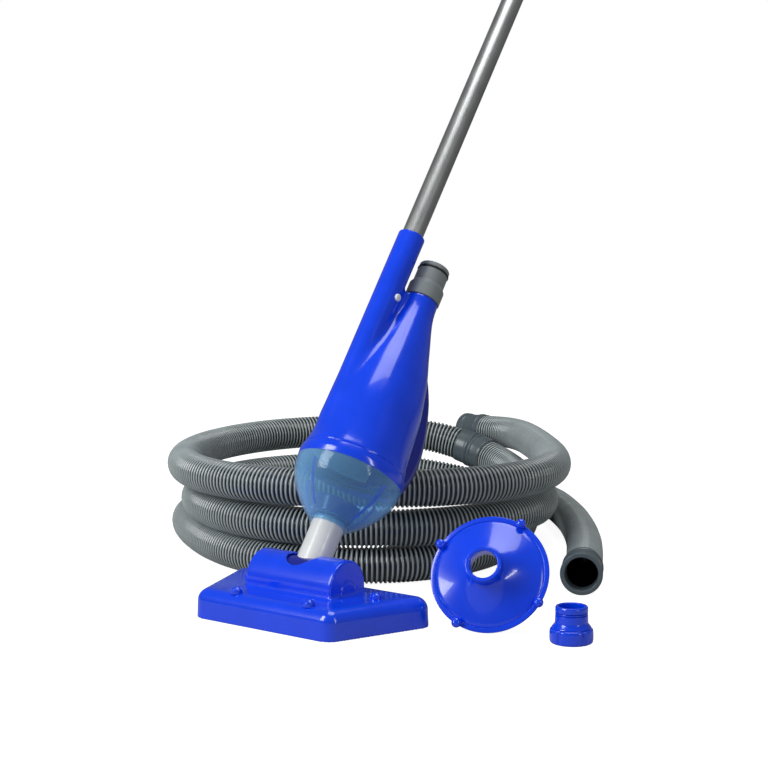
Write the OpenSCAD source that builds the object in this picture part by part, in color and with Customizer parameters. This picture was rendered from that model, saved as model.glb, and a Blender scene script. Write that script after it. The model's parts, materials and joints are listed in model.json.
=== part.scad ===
// Pool vacuum set: head, swivelling debris bowl, bottle body with telescopic pole,
// corrugated hose, skimmer plate and hose adaptor.
// Millimetres, +Z up. The origin is on the floor under the tilt hinge, +X runs along
// the hinge axis and +Y is the way the body leans.

/* [Head] */
// Width of the head's front edge
head_front_w = 193; // [160:1:220]
// Width of the head's back edge
head_back_w = 292; // [240:1:320]
// Distance from the hinge to the front edge
head_front = 77.6; // [66:0.2:90]
// Distance from the hinge to the back edge
head_back = 55.7; // [50:0.1:75]
// Height of the head's top face
head_h = 33; // [31:1:36]
// Radius of the head's corners in plan
head_corner_r = 17; // [12:1:24]
// Wall thickness of the moulded shells
wall = 3; // [2:0.5:4]
// Outer radius of the hinge hump
hump_r = 30.8; // [29:0.2:32]
// Length of the hinge hump
hump_len = 122; // [110:1:130]

/* [Lean and swivel] */
// Lean of the neck from the vertical, as it stands
lean = 36; // [0:0.2:42]
// Turn of the bowl and body about the neck, as it stands
body_turn = -25; // [-180:1:180]

/* [Neck and bowl] */
// Outer radius of the neck tube
neck_r = 19; // [17:0.5:20]
// Largest radius of the debris bowl
bowl_r = 63.6; // [62:0.2:66]
// Distance from the hinge to the bowl's lip
bowl_low = 70; // [69:0.5:72]
// Height of the bowl's dome
bowl_h = 65; // [60:1:70]
// Wall thickness of the clear bowl
bowl_wall = 2.2; // [1.5:0.1:3]

/* [Body and pole] */
// Length of the bottle above the bowl
bottle_h = 239; // [225:1:245]
// Radius of the pole's outer tube
pole_r = 13; // [12:0.5:14]
// Outer radius of the pole sleeve
sleeve_r = 16.5; // [16:0.5:18]
// Distance between the bottle's axis and the pole's axis
pole_offset = 44.5; // [42:0.5:48]
// Length of the outer tube
pole_len = 512; // [450:1:600]

/* [Hose] */
// Outer radius of the corrugated hose
hose_r = 23; // [20:0.5:25]
// Radius of the raised top loop, at the hose's centre
top_loop_r = 257; // [250:1:265]
// Radius of the middle loop, at the hose's centre
mid_loop_r = 238; // [232:1:244]
// Radius of the bottom loop, at the hose's centre
low_loop_r = 264; // [258:1:270]

/* [Skimmer plate and adaptor] */
// Radius of the skimmer plate
plate_r = 66; // [60:1:75]
// Lean of the plate back from the vertical
plate_lean = 28.5; // [20:0.5:35]
// Radius of the adaptor's spigot
adaptor_r = 17.4; // [16.8:0.1:18]

/* [Hidden] */
$fn = 64;

blue = "#1238d8";
dark_blue = "#0a1f9c";
clear_blue = [0.45, 0.68, 0.95, 0.45];
hose_grey = "#7f8a8e";
eps = 0.01;
run_gap = 0.05;       // radial clearance of a running fit
free_gap = 0.3;       // gap between pieces that pass without touching

// Head
head_depth = head_front + head_back;
shoulder_r = 15;
hinge_z = 40.7;
slot_r = neck_r + 1.3;
slot_back_z = 35.5;
trunnion_r = 5;
bush_r = 7;
bush_len = 8;
barrel_r = hump_r - wall - 0.6;
barrel_len = hump_len - 2 * wall - 2 * bush_len + 6;
mouth = [150, 16];
mouth_y = -40;
mouth_cut = 5;
peg_places = [[-45, -64], [59, -64], [-86, 6], [96, 6]];
peg_r = 2.5;
peg_head_r = 6;
peg_boss_r = 5;
peg_boss_low = 7;
brush_w = 6;
brush_rows = [[-54, 130], [44, 200]];   // [place in y, length]

// Bowl and bottle: t is the distance from the hinge along the neck's axis
rim_t = bowl_low + bowl_h;
lip_r = 23.5;
ring_r = bowl_r - 3.2;                 // the bowl's spigot inside the body's rim
ring_h = 12;
neck_in = 96;
spout_low = 78;
spout_high = 98;
flap_t = spout_high + free_gap;
flap_r = 18;
flap_thick = 2;
flap_pin_r = 1.5;
flap_pin_y = 22;
flap_pin_t = flap_t + 2.5;
knuckle_r = 2.4;
bottle_top = rim_t + bottle_h;
bottle_wall = 2.5;
bag_high = bottle_top - 75;
bag_wall = 1.2;
connector_collar_h = 22;
connector_collar_r = 21.8;
connector_len = 47.5;
connector_bore = 15.5;
spigot_r = 19;
seal_at = 40.5;                        // height of the spigot's ring groove above the bottle
seal_r = 0.8;

// Pole: heights along the neck's axis
pole_low = rim_t + 202;
sleeve_low = rim_t + 50;
sleeve_top = rim_t + 305;
button_t = rim_t + 218;
button_turn = 26;
button_r = 4.5;
button_proud = 3.5;
pole_wall = 1.2;
pole_top = pole_low + pole_len;
inner_r = 11;
inner_wall = 1.1;
inner_low = pole_top - 290;
inner_top = pole_top + 112;
collar_low = pole_top - 14;
collar_high = pole_top + 40;

// Hose: centres of the loops and the free stretches, centreline heights included
top_centre = [-201, 375, 118];
mid_centre = [-191, 366, 69.2];
low_centre = [-240, 405, hose_r];
hose_sides = 10;
cuff_r = 25;
cuff_bore = 19.5;
lead_route = [[-248, 714, 116], [-212, 711, 118], [-175, 694, 120], [-111, 638, 121],
    [-56, 583, 119], [0, 521, 118], [48, 446, 118]];
crossover_route = [[-340, 590, 118], [-305, 617, 117], [-266, 640, 110], [-214, 652, 95],
    [-160, 640, 82], [-107, 602, 73], [-54, 553, 70], [-8, 505, 69.2], [28, 458, 69.2]];
tail_route = [[-468, 537, 23], [-425, 600, 23], [-372, 655, 23], [-312, 700, 23], [-240, 728, 23],
    [-175, 728, 23], [-119, 702, 23], [-58, 644, 23], [-6, 586, 23], [39, 528, 23], [87, 460, 23],
    [121, 405, 23], [155, 346, 23], [180, 300, 23]];
route_steps = 2;

// Skimmer plate and adaptor
plate_foot = [201.7, 58];
plate_face_turn = -68.2;               // direction that the plate faces, from +X
plate_thick = 2.5;
plate_tube_r = 19;
plate_tube_h = 40;
plate_cone_h = 24;
plate_bore = 15.5;
plate_relief = 31;                     // the tube is full size above this height
plate_knob_r = 5.5;
plate_knob_turn = 62.7;
adaptor_place = [297, 82.8];
adaptor_h = 39.5;
adaptor_bore = 14;
adaptor_groove = 30;                   // foot of the spigot's ring groove
adaptor_groove_h = 3.2;
nut_r = 23.3;
nut_h = 16;
nut_lobes = 5;
nut_turn = -23;                        // direction of the first groove between lobes
thread_r = 20.5;
thread_h = 8.4;
flange_low = 10.6;
flange_high = 12.8;
flare_low = nut_h + free_gap;

// ---------- placing ----------
module on_neck() translate([0, 0, hinge_z]) rotate([-lean, 0, 0]) children();
module on_body() on_neck() rotate([0, 0, body_turn]) children();
module on_pole() on_body() translate([0, -pole_offset, 0]) children();
module on_plate() translate([plate_foot.x, plate_foot.y, 0]) rotate([0, 0, plate_face_turn + 90])
    rotate([90 - plate_lean, 0, 0]) translate([0, plate_r, 0]) children();
module on_adaptor() translate([adaptor_place.x, adaptor_place.y, 0]) children();

// ---------- shared shapes ----------
module tube(r, bore, h) difference() {
    cylinder(r = r, h = h);
    translate([0, 0, -1]) cylinder(r = bore, h = h + 2);
}

// ---------- head ----------
function side_x(y) = head_front_w / 2 + (y + head_front) * (head_back_w - head_front_w) / 2 / head_depth;
function flare() = atan((head_back_w - head_front_w) / 2 / head_depth);
function corner_x(y, r) = side_x(y) - r / cos(flare());
function head_corners() = [for (y = [head_corner_r - head_front, head_back - head_corner_r], s = [-1, 1])
    [s * corner_x(y, head_corner_r), y]];

module head_block(inset, top) hull() for (p = head_corners()) translate([p.x, p.y, 0]) {
    cylinder(r = head_corner_r - inset, h = 8, $fn = 24);
    translate([0, 0, top - shoulder_r + inset]) rotate_extrude($fn = 24) intersection() {
        circle(r = shoulder_r - inset, $fn = 24);
        square(shoulder_r);
    }
}
module arch(r, low) {
    circle(r = r);
    translate([-r, low]) square([2 * r, -low]);
}
module hump(r, len, low) translate([-len / 2, 0, hinge_z]) rotate([90, 0, 90]) linear_extrude(len)
    arch(r, low - hinge_z);
module head_shell() color(blue) difference() {
    union() {
        head_block(0, head_h);
        hump(hump_r, hump_len, 20);
        for (s = [-1, 1]) end_rib(s);
    }
    difference() {
        translate([0, 0, -eps]) head_block(wall, head_h - wall);
        for (p = peg_places) translate([p.x, p.y, peg_boss_low]) cylinder(r = peg_boss_r, h = head_h);
    }
    difference() {
        hump(hump_r - wall, hump_len - 2 * wall, 12);
        for (s = [-1, 1]) translate([s * (hump_len / 2 - bush_len / 2 - eps), 0, hinge_z])
            rotate([0, 90, 0]) cylinder(r = bush_r + 3, h = bush_len, center = true);
    }
    for (s = [-1, 1]) translate([s * (hump_len / 2 - bush_len / 2), 0, hinge_z])
        rotate([0, 90, 0]) cylinder(r = bush_r, h = bush_len + 2, center = true);
    translate([0, 0, slot_back_z]) linear_extrude(60) {
        circle(r = slot_r);
        translate([-slot_r, 0]) square([2 * slot_r, hump_r + 10]);
    }
    for (p = peg_places) translate([p.x, p.y, -1]) cylinder(r = peg_r + 0.1, h = head_h + 5);
}
module end_rib(side) translate([side * (hump_len / 2 + 0.8) - 0.8, 0, hinge_z]) rotate([90, 0, 90])
    linear_extrude(1.6) arch(13, head_h - 2 - hinge_z);
module head_base() color(dark_blue) difference() {
    hull() for (p = head_corners()) translate([p.x, p.y, 0])
        cylinder(r = head_corner_r - wall - free_gap, h = 3, $fn = 32);
    translate([-mouth.x / 2, mouth_y - mouth.y / 2, -1]) cube([mouth.x, mouth.y, mouth_cut]);
    for (b = brush_rows) translate([-b[1] / 2, b[0] - brush_w / 2, -1]) cube([b[1], brush_w, mouth_cut]);
    for (p = peg_places) translate([p.x, p.y, -1]) cylinder(r = peg_r + 0.1, h = 5);
}
module brush(row) color("#e8e8e2") {
    translate([-row[1] / 2, row[0] - brush_w / 2, 0]) cube([row[1], brush_w, 3.5]);
    translate([-row[1] / 2 - 2, row[0] - brush_w / 2 - 1.5, 3.1]) cube([row[1] + 4, brush_w + 3, 3.4]);
}
module brush_front() brush(brush_rows[0]);
module brush_rear() brush(brush_rows[1]);
module base_pegs() color(blue) for (p = peg_places) translate([p.x, p.y, 0]) rotate_extrude($fn = 32)
    polygon(concat([[0, 0.5], [peg_r, 0.5], [peg_r, head_h + 0.05], [peg_head_r, head_h + 0.05],
        [peg_head_r, head_h + 2.5]],
        [for (a = [10:16:90]) [peg_head_r * cos(a), head_h + 2.5 + 5 * sin(a)]]));
module hinge_bushes() color("#e6e8ea") for (s = [-1, 1])
    translate([s * (hump_len / 2 - bush_len / 2 - 0.5), 0, hinge_z]) rotate([0, 90, 0])
        translate([0, 0, -bush_len / 2]) tube(bush_r, trunnion_r + run_gap, bush_len);

// ---------- neck ----------
module neck_barrel() color(dark_blue) on_neck() difference() {
    union() {
        rotate([0, 90, 0]) cylinder(r = barrel_r, h = barrel_len - 6, center = true);
        rotate([0, 90, 0]) cylinder(r = trunnion_r, h = hump_len - 2 * wall - 1, center = true);
    }
    rotate([0, 90, 0]) cylinder(r = barrel_r - wall, h = barrel_len - 6 - 2 * wall, center = true);
    translate([-40, -15, -barrel_r - 1]) cube([80, 30, barrel_r]);
    cylinder(r = neck_r, h = 40);
}
module neck_tube() color("#dfe3e4") on_neck() translate([0, 0, 16]) tube(neck_r, neck_r - 2.5, neck_in - 16);

// ---------- bowl ----------
function dome(s) = lip_r + (bowl_r - lip_r) * pow(sin(90 * s), 0.8);
dome_steps = 12;
rib_turn = 20;
rib_depth = 6;
function rib_point(i, inset) = [dome(i / dome_steps) - inset, bowl_low + 2 + (bowl_h - 2) * i / dome_steps];
dome_outer = [for (i = [0:dome_steps]) [dome(i / dome_steps), bowl_low + 2 + (bowl_h - 2) * i / dome_steps]];
dome_inner = [for (i = [dome_steps:-1:1]) [dome(i / dome_steps) - bowl_wall * 1.15,
    bowl_low + 3.6 + (bowl_h - 3.6) * i / dome_steps]];
module bowl() color(clear_blue) on_body() {
    rotate_extrude($fn = 96) polygon(concat([[neck_r + run_gap, bowl_low], [lip_r, bowl_low]], dome_outer,
        [[ring_r, rim_t], [ring_r, rim_t + ring_h], [ring_r - 2.4, rim_t + ring_h]],
        dome_inner, [[neck_r + 2.6, bowl_low + 5.6], [neck_r + run_gap, bowl_low + 5.6]]));
    for (a = [rib_turn:90:rib_turn + 270]) rotate([0, 0, a]) translate([0, 0.8, 0]) rotate([90, 0, 0])
        linear_extrude(1.6) polygon(concat([for (i = [2:10]) rib_point(i, 1.4)],
            [for (i = [10:-1:2]) rib_point(i, rib_depth)]));
}
module neck_oring() color("#222426") on_body() translate([0, 0, bowl_low + 7.2])
    rotate_extrude() translate([neck_r + 1.35, 0]) circle(r = 1.3, $fn = 24);
module inner_spout() color(dark_blue) on_body() {
    rotate_extrude($fn = 48) polygon([[neck_r + run_gap, spout_low + 2.5],
        [22.5, spout_low + 1.5], [23.5, spout_low + 2.5], [27.5, spout_high - 2], [27.5, spout_high],
        [16, spout_high], [16, spout_high - 1.5], [neck_r + run_gap, spout_high - 1.5]]);
    for (s = [-1, 1]) translate([s * 8.5, flap_pin_y, 0]) difference() {
        translate([-1.5, -3, spout_high - eps]) cube([3, 6, 5.6]);
        translate([-3, 0, flap_pin_t]) rotate([0, 90, 0]) cylinder(r = flap_pin_r, h = 6, $fn = 24);
    }
}
module flap_pin() color("silver") on_body() translate([-11, flap_pin_y, flap_pin_t]) rotate([0, 90, 0])
    cylinder(r = flap_pin_r, h = 22, $fn = 24);
module check_flap() color("#2a2c2f") on_body() difference() {
    union() {
        translate([0, 0, flap_t]) cylinder(r = flap_r, h = flap_thick);
        translate([-6, 8, flap_t]) cube([12, flap_pin_y - 8, flap_thick]);
        translate([-5.5, flap_pin_y, flap_pin_t]) rotate([0, 90, 0])
            cylinder(r = knuckle_r, h = 11, $fn = 24);
    }
    translate([-8, flap_pin_y, flap_pin_t]) rotate([0, 90, 0])
        cylinder(r = flap_pin_r + run_gap, h = 16, $fn = 24);
}
module rim_gasket() color("#222426") on_body() translate([0, 0, rim_t + 7]) difference() {
    cylinder(r = ring_r + 0.45, h = 3);
    translate([0, 0, -1]) cylinder(r = ring_r, h = 5);
}
module bag_ring() color(dark_blue) on_body() translate([0, 0, rim_t + ring_h])
    tube(ring_r - 1.2, ring_r - 6, 4);
function bag_r(s) = (ring_r - 7) * (1 - s) + 14 * s + 8 * sin(180 * s);
module filter_bag() color("#e9edf0") on_body() rotate_extrude($fn = 48)
    let (low = rim_t + ring_h + 4, tall = bag_high - low, n = 8)
    polygon(concat([for (i = [0:n]) [bag_r(i / n), low + tall * i / n]],
        [[0, bag_high], [0, bag_high - bag_wall]],
        [for (i = [n:-1:0]) [bag_r(i / n) - bag_wall, low + tall * i / n - (i == n ? bag_wall : 0)]]));

// ---------- body ----------
bottle_radii = [[0, 63.6], [8, 63.8], [13.4, 62.4], [14, 61.4], [15, 61.4], [15.6, 61.9], [25, 60.2],
    [43, 58], [65, 56.2], [91, 54], [110, 50.8], [119, 49], [135, 45.6], [147, 42.4], [165, 36.9],
    [185, 31.2], [203, 26], [214, 23.2], [226, 21.3], [239, 20.6]];
bottle_profile = [for (b = bottle_radii) [rim_t + b[0] * bottle_h / 239, b[1] * bowl_r / 63.6]];
bottle_inner = [for (i = [len(bottle_profile) - 2:-1:5])
    [bottle_profile[i].y - bottle_wall, bottle_profile[i].x]];
module bottle_solid(grow = 0) rotate_extrude($fn = 96)
    polygon(concat([[0, rim_t]], [for (p = bottle_profile) [p.y + grow, p.x]], [[0, bottle_top]]));
module bottle_space() rotate_extrude($fn = 96) polygon(concat([[0, rim_t - 1], [ring_r + 0.5, rim_t - 1],
    [ring_r + 0.5, rim_t + 15.5]], [for (i = [len(bottle_inner) - 1:-1:0]) bottle_inner[i]],
    [[17.5, bottle_top - 8], [17.5, bottle_top + 1], [0, bottle_top + 1]]));
module sleeve_solid() translate([0, -pole_offset, 0]) {
    translate([0, 0, sleeve_low]) cylinder(r = sleeve_r, h = sleeve_top - sleeve_low);
    translate([0, 0, sleeve_low]) sphere(r = sleeve_r);
}
module body_shell() color(blue) on_body() difference() {
    union() {
        bottle_solid();
        sleeve_solid();
        translate([-5, -pole_offset, rim_t + 110]) cube([10, pole_offset - 10, bottle_h - 114]);
    }
    bottle_space();
    translate([0, -pole_offset, pole_low - 2]) cylinder(r = pole_r + run_gap, h = pole_len);
    translate([0, -pole_offset, button_t]) rotate([0, 0, button_turn]) rotate([0, 90, 0])
        cylinder(r = button_r + run_gap, h = 30);
}
fairing_low = 2;
fairing_h = 148;
function fairing_reach(s) = 62 - 19 * s + 25 * pow(sin(180 * pow(s, 0.9)), 0.8) * (1 - 0.25 * s);
module rear_fairing() color(dark_blue) on_body() difference() {
    translate([-15, 0, 0]) rotate([90, 0, 90]) linear_extrude(30)
        polygon(concat([[30, rim_t + fairing_low + fairing_h], [30, rim_t + fairing_low]],
            [for (i = [0:12]) let (s = i / 12) [fairing_reach(s), rim_t + fairing_low + fairing_h * s]]));
    bottle_solid(0.05);
}
module connector() color("#8f999c") on_body() translate([0, 0, bottle_top]) rotate_extrude() polygon([
    [connector_bore, -18], [17.5, -18], [17.5, 0.4], [connector_collar_r - 0.8, 0.4],
    [connector_collar_r, 1.2],
    [connector_collar_r, connector_collar_h - 4], [spigot_r, connector_collar_h], [spigot_r, seal_at - 1.2],
    [spigot_r - 1.8, seal_at - 1.2], [spigot_r - 1.8, seal_at + 1.2], [spigot_r, seal_at + 1.2],
    [spigot_r, connector_len - 1.5], [spigot_r - 1.2, connector_len], [connector_bore, connector_len]]);
module connector_oring() color("#16181a") on_body() translate([0, 0, bottle_top + seal_at])
    rotate_extrude() translate([spigot_r - seal_r - 0.05, 0]) circle(r = seal_r, $fn = 24);
module connector_gasket() color("#222426") on_body() translate([0, 0, bottle_top + 0.01])
    tube(20.6, 17.52, 0.38);

// ---------- pole ----------
module pole_outer() color("#b9bdbe") on_pole() difference() {
    translate([0, 0, pole_low]) tube(pole_r, pole_r - pole_wall, pole_len);
    translate([0, 0, button_t]) rotate([0, 0, button_turn]) rotate([0, 90, 0])
        cylinder(r = button_r + run_gap, h = 30);
}
module clip_spring() color("silver") on_pole() translate([0, 0, button_t]) rotate([0, 0, button_turn]) {
    translate([-10.6, -3.5, -12]) cube([0.6, 7, 60]);
    translate([-0.6, -3.5, -12]) cube([0.6, 7, 50]);
    translate([-10.6, -3.5, 47.4]) cube([10.6, 7, 0.6]);
    translate([-0.6, -3.5, 37.4]) cube([0.6, 7, 10.6]);
}
module snap_button() color("#f2f3f3") on_pole() translate([0, 0, button_t]) rotate([0, 0, button_turn])
    rotate([0, 90, 0]) {
        translate([0, 0, 5.4]) cylinder(r = button_r, h = sleeve_r + button_proud - 2 - 5.4, $fn = 48);
        translate([0, 0, sleeve_r + button_proud - 2 - eps]) rotate_extrude($fn = 48)
            polygon(concat([[0, 0]], [for (a = [0:15:90]) [button_r * cos(a), 2 * sin(a)]]));
    }
module lock_collar() color(blue) on_pole() difference() {
    union() {
        translate([0, 0, collar_low]) cylinder(r = 16.5, h = 12);
        translate([0, 0, collar_low + 12]) cylinder(r = 18, h = collar_high - collar_low - 18);
        translate([0, 0, collar_high - 6 - eps]) cylinder(r = 15, h = 6);
        for (a = [0:30:330]) rotate([0, 0, a]) translate([17.6, 0, collar_low + 16])
            cylinder(r = 1.6, h = 26, $fn = 16);
    }
    translate([0, 0, collar_low - 1]) cylinder(r = pole_r + run_gap, h = pole_top - collar_low + 1.5);
    translate([0, 0, pole_top]) cylinder(r = inner_r + run_gap, h = 60);
}
module pole_inner() color("#c3c7c8") on_pole() translate([0, 0, inner_low])
    tube(inner_r, inner_r - inner_wall, inner_top - inner_low);
module inner_guide() color("#e6e8ea") on_pole() translate([0, 0, inner_low - 12]) difference() {
    union() {
        cylinder(r = pole_r - pole_wall - run_gap, h = 12);
        cylinder(r = inner_r - inner_wall, h = 30);
    }
    translate([0, 0, -1]) cylinder(r = 5, h = 40);
}
module pole_grip() color("#26292c") on_pole() translate([0, 0, pole_top + 48]) difference() {
    union() {
        cylinder(r = 14.5, h = 62);
        for (z = [6:10:56]) translate([0, 0, z]) cylinder(r = 15.2, h = 4);
    }
    translate([0, 0, -1]) cylinder(r = inner_r, h = 70);
}
module pole_end_cap() color("#26292c") on_pole() {
    translate([0, 0, inner_top - 15]) cylinder(r = inner_r - inner_wall, h = 15);
    translate([0, 0, inner_top]) cylinder(r = 13, h = 4);
}

// ---------- hose ----------
function spline(a, b, c, d, u) = 0.5 * ((2 * b) + (c - a) * u + (2 * a - 5 * b + 4 * c - d) * u * u
    + (3 * b - a - 3 * c + d) * u * u * u);
function smooth(route) = [for (i = [0:len(route) - 2], k = [0:route_steps - 1])
    spline(route[max(i - 1, 0)], route[i], route[i + 1], route[min(i + 2, len(route) - 1)], k / route_steps),
    route[len(route) - 1]];
function unit(v) = v / norm(v);
function heading(p, i) = unit(p[min(i + 1, len(p) - 1)] - p[max(i - 1, 0)]);
function ring_at(c, d, r) = let (side = unit(cross(d, [0, 0, 1])), up = cross(side, d))
    [for (k = [0:hose_sides - 1]) let (a = 360 * (k + 0.5) / hose_sides)
        c + r * (cos(a) * side + sin(a) * up)];
module swept_hose(route) {
    path = smooth(route);
    n = len(path);
    points = [for (i = [0:n - 1]) each ring_at(path[i], heading(path, i), hose_r)];
    sides = [for (i = [0:n - 2], k = [0:hose_sides - 1]) let (j = (k + 1) % hose_sides, a = i * hose_sides)
        [a + k, a + j, a + hose_sides + j, a + hose_sides + k]];
    ends = [[for (k = [hose_sides - 1:-1:0]) k], [for (k = [0:hose_sides - 1]) (n - 1) * hose_sides + k]];
    polyhedron(points, concat(sides, ends));
}
module along(p, d) translate(p) rotate([0, acos(d.z), atan2(d.y, d.x)]) children();
module cuff(r, h, rim) difference() {
    union() {
        cylinder(r = r, h = h);
        translate([0, 0, h - 5]) cylinder(r = rim, h = 5);
    }
    translate([0, 0, -1]) cylinder(r = hose_r + 0.2, h = h - 20);
    cylinder(r = cuff_bore, h = h + 1);
}
module coil(centre, r) translate([centre.x, centre.y, 0]) rotate_extrude($fn = 96)
    translate([r, centre.z]) circle(r = hose_r, $fn = 32);
module hose_coil_top() color(hose_grey) coil(top_centre, top_loop_r);
module hose_coil_mid() color(hose_grey) coil(mid_centre, mid_loop_r);
module hose_coil_low() color(hose_grey) coil(low_centre, low_loop_r);
module hose_lead() color(hose_grey) swept_hose(lead_route);
module hose_crossover() color(hose_grey) swept_hose(crossover_route);
module hose_tail() color(hose_grey) swept_hose(tail_route);
lead_dir = unit(lead_route[0] - lead_route[1]);
module cuff_start() color("#5f6a6e") along(lead_route[0] - 14 * lead_dir, lead_dir)
    cuff(cuff_r, 42, cuff_r + 0.8);
joint_dir = unit(crossover_route[4] - crossover_route[2]);
module joint_cuff(side) along(crossover_route[3], joint_dir * side) difference() {
    union() {
        translate([0, 0, 0.2]) cylinder(r = cuff_r, h = 30);
        translate([0, 0, 2]) cylinder(r = cuff_r + 1, h = 4);
    }
    cylinder(r = hose_r + 1.2, h = 40);
}
module cuff_joint_a() color("#5f6a6e") joint_cuff(-1);
module cuff_joint_b() color("#5f6a6e") joint_cuff(1);
tail_n = len(tail_route);
tail_dir = unit(tail_route[tail_n - 1] - tail_route[tail_n - 2]);
module cuff_end() color("#5f6a6e") translate([0, 0, cuff_r + 0.8 - hose_r])
    along(tail_route[tail_n - 1] - 20 * tail_dir, tail_dir) cuff(cuff_r - 0.4, 46, cuff_r + 0.8);

// ---------- skimmer plate ----------
cone_steps = 10;
function cone_at(s) = [plate_tube_r + (plate_r - 6 - plate_tube_r) * pow(1 - s, 1.5),
    plate_thick + (plate_cone_h - plate_thick) * s];
cone_face = [for (i = [0:cone_steps]) cone_at(i / cone_steps)];
module plate_cone() color(blue) on_plate() rotate_extrude($fn = 96) polygon(concat(
    [[plate_r - 7, 0], [plate_r, 0], [plate_r, plate_thick]], cone_face,
    [[plate_tube_r - 0.3, plate_cone_h], [plate_tube_r - 0.3, plate_relief], [plate_tube_r, plate_relief],
        [plate_tube_r, plate_tube_h - 1], [plate_tube_r - 1, plate_tube_h],
        [plate_bore, plate_tube_h], [plate_bore, plate_cone_h - 2]],
    [for (i = [cone_steps - 1:-1:0]) cone_face[i] - [2.4, 2.2]]));
module plate_knobs() color(blue) on_plate() for (a = [0:90:270]) rotate([0, 0, a + plate_knob_turn])
    translate([plate_r - 1, 0, plate_knob_r + 0.1]) difference() {
        sphere(r = plate_knob_r, $fn = 32);
        translate([-10, -10, -20]) cube([9.9, 20, 17.1]);
    }
module plate_collar_ring() color(blue) on_plate() translate([0, 0, plate_cone_h + 2])
    tube(plate_tube_r + 1.2, plate_tube_r - 0.3, 2.5);

// ---------- adaptor ----------
module adaptor_spigot() color(blue) on_adaptor() rotate_extrude() polygon([
    [adaptor_bore, flange_low], [thread_r + 0.1, flange_low], [thread_r + 0.1, flange_high],
    [18.7, flange_high], [18.7, flare_low], [nut_r - 1.8, flare_low], [adaptor_r + 1, flare_low + 4],
    [adaptor_r, flare_low + 6], [adaptor_r, adaptor_groove], [adaptor_r - 1.8, adaptor_groove],
    [adaptor_r - 1.8, adaptor_groove + adaptor_groove_h], [adaptor_r, adaptor_groove + adaptor_groove_h],
    [adaptor_r, adaptor_h - 1.2], [adaptor_r - 1, adaptor_h], [adaptor_bore, adaptor_h]]);
module adaptor_oring() color(blue) on_adaptor() translate([0, 0, adaptor_groove + adaptor_groove_h / 2])
    rotate_extrude() translate([adaptor_r - seal_r - 0.05, 0]) circle(r = seal_r, $fn = 24);
module adaptor_washer() color("#222426") on_adaptor() translate([0, 0, thread_h + 0.05])
    tube(thread_r - 0.3, adaptor_bore, flange_low - thread_h - 0.1);
module adaptor_nut() color(blue) on_adaptor() difference() {
    rotate_extrude() polygon([[0, 0], [nut_r - 1, 0], [nut_r, 1], [nut_r, nut_h - 1.4],
        [nut_r - 1.4, nut_h], [0, nut_h]]);
    for (k = [0:nut_lobes - 1]) rotate([0, 0, nut_turn + k * 360 / nut_lobes]) translate([nut_r + 0.6, 0, -1])
        cylinder(r = 2, h = nut_h + 2, $fn = 24);
    translate([0, 0, -1]) cylinder(r = thread_r + run_gap, h = thread_h + 1);
    translate([0, 0, thread_h - eps]) cylinder(r = thread_r + 0.5, h = flange_high + free_gap - thread_h);
    cylinder(r = 18.7 + run_gap, h = nut_h + 1);
}

head_shell();
head_base();
brush_front();
brush_rear();
base_pegs();
hinge_bushes();
neck_barrel();
neck_tube();
bowl();
neck_oring();
inner_spout();
flap_pin();
check_flap();
rim_gasket();
bag_ring();
filter_bag();
body_shell();
rear_fairing();
connector();
connector_oring();
connector_gasket();
pole_outer();
clip_spring();
snap_button();
lock_collar();
pole_inner();
inner_guide();
pole_grip();
pole_end_cap();
hose_coil_top();
hose_coil_mid();
hose_coil_low();
hose_lead();
hose_crossover();
hose_tail();
cuff_start();
cuff_joint_a();
cuff_joint_b();
cuff_end();
plate_cone();
plate_knobs();
plate_collar_ring();
adaptor_spigot();
adaptor_oring();
adaptor_washer();
adaptor_nut();
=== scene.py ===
"""Looks of a pool vacuum set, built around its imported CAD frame. Metres, the frame's own axes."""
import json
import math

import bmesh
import bpy
import numpy as np
from mathutils import Matrix, Vector


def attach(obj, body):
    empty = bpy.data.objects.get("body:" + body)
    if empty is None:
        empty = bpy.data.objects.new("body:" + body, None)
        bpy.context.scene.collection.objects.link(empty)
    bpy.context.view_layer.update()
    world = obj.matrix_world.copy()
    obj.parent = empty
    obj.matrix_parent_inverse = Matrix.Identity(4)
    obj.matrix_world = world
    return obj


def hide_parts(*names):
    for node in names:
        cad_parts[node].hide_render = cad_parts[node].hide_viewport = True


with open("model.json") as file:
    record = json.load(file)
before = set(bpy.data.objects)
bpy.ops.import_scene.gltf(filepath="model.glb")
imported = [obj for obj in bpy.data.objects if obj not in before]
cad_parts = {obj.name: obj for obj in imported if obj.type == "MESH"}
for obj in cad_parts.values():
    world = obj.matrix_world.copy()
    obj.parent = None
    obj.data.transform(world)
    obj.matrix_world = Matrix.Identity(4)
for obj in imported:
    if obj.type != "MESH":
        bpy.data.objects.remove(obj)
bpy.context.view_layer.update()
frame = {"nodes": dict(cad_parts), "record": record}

# ---------------------------------------------------------------- the object's own sizes
HINGE = Vector((0, 0, 0.0407))
LEAN = math.radians(36)
TURN = math.radians(-25)
NECK = Matrix.Translation(HINGE) @ Matrix.Rotation(-LEAN, 4, "X")
BODY = NECK @ Matrix.Rotation(TURN, 4, "Z")
RIM_T = 0.135                 # where the body meets the bowl, along the neck's axis
TOP_T = RIM_T + 0.239         # top of the bottle



# ---------------------------------------------------------------- mesh tools
SHARP = 38                    # edges that turn by more degrees than this are shaded hard


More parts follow.
